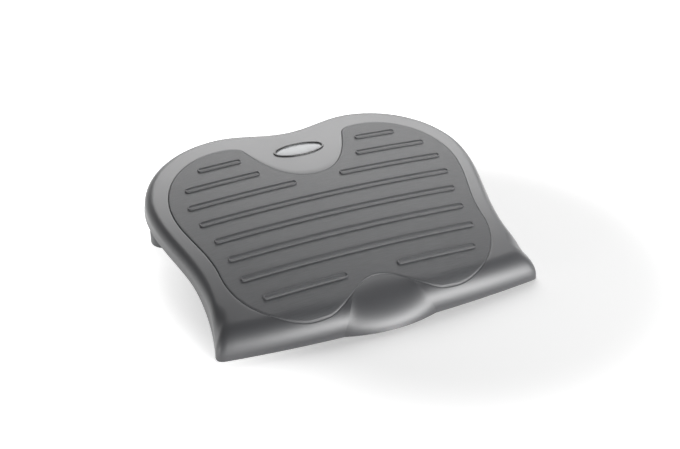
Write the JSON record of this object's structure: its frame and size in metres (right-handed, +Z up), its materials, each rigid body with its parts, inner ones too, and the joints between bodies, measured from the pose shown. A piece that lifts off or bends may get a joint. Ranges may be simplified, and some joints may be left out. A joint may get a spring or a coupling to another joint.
{
  "type": "tilting under-desk footrest",
  "caption": "Moulded platform with a ribbed tread pad and lobed outline, standing on its front edge and two rear legs that slide to set its height and tilt.",
  "frame": {"origin": "bottom centre of the bounding box, on the floor, legs in their middle setting", "axes": "+X right seen from the front, +Y to the back, +Z up"},
  "size_m": [0.4624, 0.3778, 0.1035],
  "materials": {
    "shell": "satin",
    "pad": "fine texture",
    "bezel": "gloss",
    "plate": "satin",
    "leg": "satin",
    "guide": "satin",
    "steel": "zinc plated",
    "rubber": "matte"
  },
  "bodies": {
    "platform": {"platform_shell": "shell", "tread_pad": "pad", "badge_bezel": "bezel", "badge_plate": "plate", "front_grip_left": "rubber", "front_grip_right": "rubber", "leg_guide_left": "guide", "leg_guide_right": "guide", "detent_spring_left": "steel", "detent_spring_right": "steel", "guide_screw_left_1": "steel", "guide_screw_left_2": "steel", "guide_screw_left_3": "steel", "guide_screw_right_1": "steel", "guide_screw_right_2": "steel", "guide_screw_right_3": "steel"},
    "left_leg": {"leg_left": "leg", "foot_pad_left": "rubber"},
    "right_leg": {"leg_right": "leg", "foot_pad_right": "rubber"}
  },
  "joints": [
    {"name": "leg_slide_left", "type": "slide", "parent": "platform", "child": "left_leg", "axis": [0, 0, -1], "range_m": [-0.016, 0.016], "deforming": ["detent_spring_left"]},
    {"name": "leg_slide_right", "type": "slide", "parent": "platform", "child": "right_leg", "axis": [0, 0, -1], "range_m": [-0.016, 0.016], "deforming": ["detent_spring_right"]}
  ]
}
